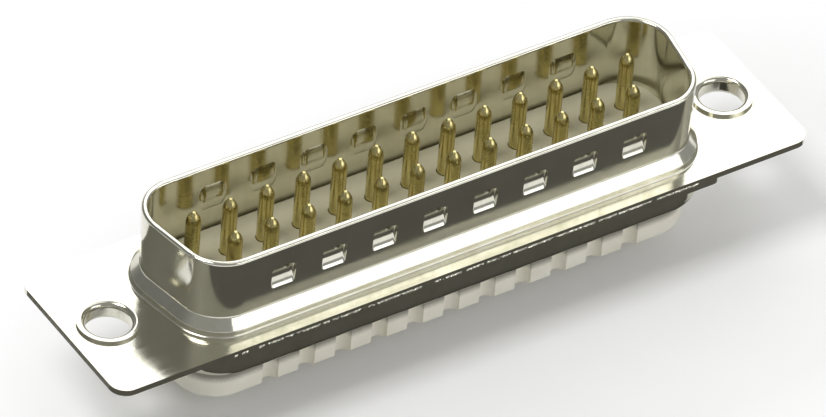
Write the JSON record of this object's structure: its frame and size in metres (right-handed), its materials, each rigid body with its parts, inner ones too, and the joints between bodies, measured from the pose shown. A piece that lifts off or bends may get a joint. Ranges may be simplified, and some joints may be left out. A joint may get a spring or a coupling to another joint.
{
  "type": "d-sub connector plug",
  "caption": "D-shaped metal-shelled connector plug with two rows of round pins, a mounting flange with two riveted holes and solder cups behind.",
  "frame": {"origin": "midway between the two mounting holes, on the flange's front face", "axes": "+X along the connector's length, +Y towards the wide side of the D, +Z out of the mouth, the way a mating socket leaves"},
  "size_m": [0.053, 0.0126, 0.0132],
  "materials": {
    "plated_steel": "bright tin plate over drawn steel",
    "insulator_plastic": "pale moulded thermoplastic",
    "gold_plate": "thin gold plate over brass"
  },
  "bodies": {
    "root": {"contact_01": "gold_plate", "contact_02": "gold_plate", "contact_03": "gold_plate", "contact_04": "gold_plate", "contact_05": "gold_plate", "contact_06": "gold_plate", "contact_07": "gold_plate", "contact_08": "gold_plate", "contact_09": "gold_plate", "contact_10": "gold_plate", "contact_11": "gold_plate", "contact_12": "gold_plate", "contact_13": "gold_plate", "contact_14": "gold_plate", "contact_15": "gold_plate", "contact_16": "gold_plate", "contact_17": "gold_plate", "contact_18": "gold_plate", "contact_19": "gold_plate", "contact_20": "gold_plate", "contact_21": "gold_plate", "contact_22": "gold_plate", "contact_23": "gold_plate", "contact_24": "gold_plate", "contact_25": "gold_plate", "flange_eyelets": "plated_steel", "front_insulator": "insulator_plastic", "front_shell": "plated_steel", "rear_insulator": "insulator_plastic", "rear_shell": "plated_steel"}
  },
  "joints": []
}
